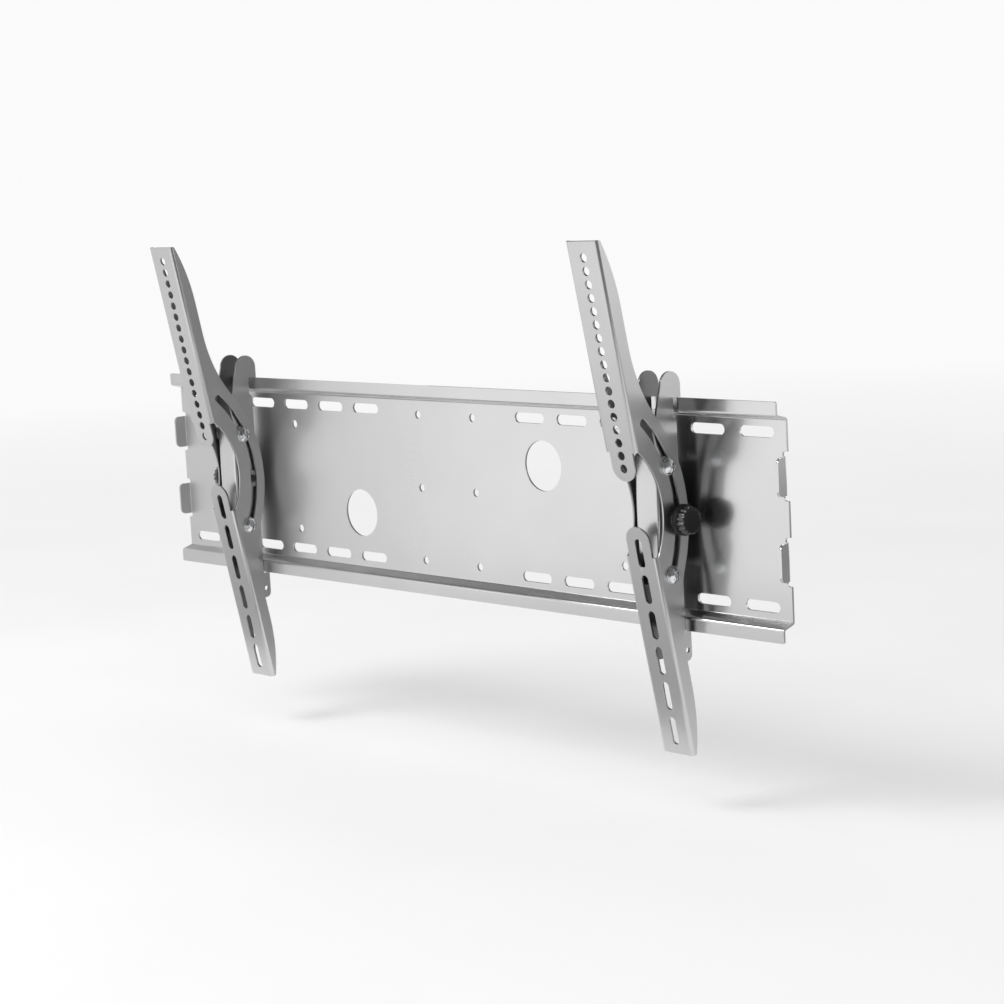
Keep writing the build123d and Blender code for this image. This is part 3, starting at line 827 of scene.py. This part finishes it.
# %% Cards behind and above
reflection_card("back_card", upright((-0.25, 0.2), (0.42, 0.2), floor_z, 0.5), (0.22, 0.22))
corners = upright((2.6, 0.4), (0.4, 3.0), floor_z, CARD_TOP)
reflection_card("side_card", corners, (0.36, 1.0), (0, 0, 1), (floor_z, 0.1))
reflection_card("end_card", upright((2.3, -1.9), (2.6, 0.4), floor_z, CARD_TOP), (0.18, 0.18))
corners = lying(near_level, (0.1, 0.25), (0.6, -0.1), (2.6, 0.4), (0.4, 3.0))
reflection_card("ground_card", corners, (0.75, 0.2), (0.72, 0.69, 0), (0.5, 1.6))
reflection_card("high_card", upright((-3.0, -0.4), (-0.6, -2.9), 0.6, CARD_TOP), (0.25, 0.25))
reflection_card("ceiling_card", lying(CARD_TOP, *square(4.5)), (0.12, 0.12))

# %% [markdown]
# ## Light
# An even white world lights everything softly, at a level where a colour looks about as it is written.
# To the camera, and in mirrors and glass, the world shows the pale tone of the background instead. One
# large lamp at the left front, high up, adds direction: it gives the floor its shadow and rounds the
# small parts.

# %% Light of the world
SKY_LIGHT = 0.9


def even_sky(tree, strength):
    """A white background of one strength."""
    sky = tree.nodes.new("ShaderNodeBackground")
    sky.inputs["Color"].default_value = (1, 1, 1, 1)
    sky.inputs["Strength"].default_value = strength
    return sky.outputs[0]


world = bpy.data.worlds.new("studio")
scene.world = world
world.use_nodes = True
tree = world.node_tree
tree.nodes.clear()
path = tree.nodes.new("ShaderNodeLightPath")
seen = arithmetic(tree, "MAXIMUM", path.outputs["Is Camera Ray"], path.outputs["Is Glossy Ray"])
seen = arithmetic(tree, "MAXIMUM", seen, path.outputs["Is Transmission Ray"])
blend = tree.nodes.new("ShaderNodeMixShader")
tree.links.new(seen, blend.inputs["Fac"])
tree.links.new(even_sky(tree, SKY_LIGHT), blend.inputs[1])
tree.links.new(even_sky(tree, BACKGROUND), blend.inputs[2])
out = tree.nodes.new("ShaderNodeOutputWorld")
tree.links.new(blend.outputs[0], out.inputs["Surface"])
print("world lights at", SKY_LIGHT, "and shows", BACKGROUND)

# %% Lamp
def soft_lamp(name, place, target, size, power):
    """A square lamp that faces a point."""
    data = bpy.data.lights.new(name, "AREA")
    data.shape = "SQUARE"
    data.size = size
    data.energy = power
    lamp = bpy.data.objects.new(name, data)
    scene.collection.objects.link(lamp)
    lamp.location = place
    lamp.rotation_euler = (Vector(target) - Vector(place)).to_track_quat("-Z", "Y").to_euler()
    print(name, "lamp:", power, "W,", size, "m wide")


soft_lamp("key", place=(-0.7, -1.9, 2.05), target=(0, 0, 0), size=1.2, power=30)

# %% [markdown]
# ## Camera
# The camera stands where the photograph's stood. Its place, its three turns and its focal length were
# fitted to the plate's slots, holes and corners. The turns are built as three directions: straight
# ahead, to the right and up, with the roll shared out between the last two. The lens has no shift, so
# the object stays in the middle when the camera goes round it.

# %% Camera
IMAGE_WIDTH, FOCAL_LENGTH = 1004, 2419.7  # in pixels
SENSOR_WIDTH = 36  # in millimetres
CAMERA_PLACE = (1.8766, -1.6983, 0.3454)
yaw, pitch, roll = radians(46.636), radians(8.122), radians(-3.035)
ahead = Vector((-sin(yaw) * cos(pitch), cos(yaw) * cos(pitch), -sin(pitch)))
level = Vector((cos(yaw), sin(yaw), 0))
plumb = level.cross(ahead)
right = cos(roll) * level + sin(roll) * plumb
up = cos(roll) * plumb - sin(roll) * level
camera_data = bpy.data.cameras.new("camera")
camera_data.sensor_width = SENSOR_WIDTH
camera_data.lens = FOCAL_LENGTH / IMAGE_WIDTH * SENSOR_WIDTH
camera = bpy.data.objects.new("camera", camera_data)
scene.collection.objects.link(camera)
turn = Matrix((right, up, -ahead)).transposed().to_4x4()
camera.matrix_world = Matrix.Translation(CAMERA_PLACE) @ turn
scene.camera = camera
print("camera's lens:", round(camera_data.lens, 1), "mm")

# %% [markdown]
# ## Sizes and the end
# Dressing a part mustn't change its size. The box of the imported model is printed at the start, and the
# box of the dressed one here, so that a piece that sticks out would show.

# %% View transform, sizes and the end
scene.view_settings.view_transform = "Standard"
low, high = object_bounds()
print("visual box", tuple(low), tuple(high))
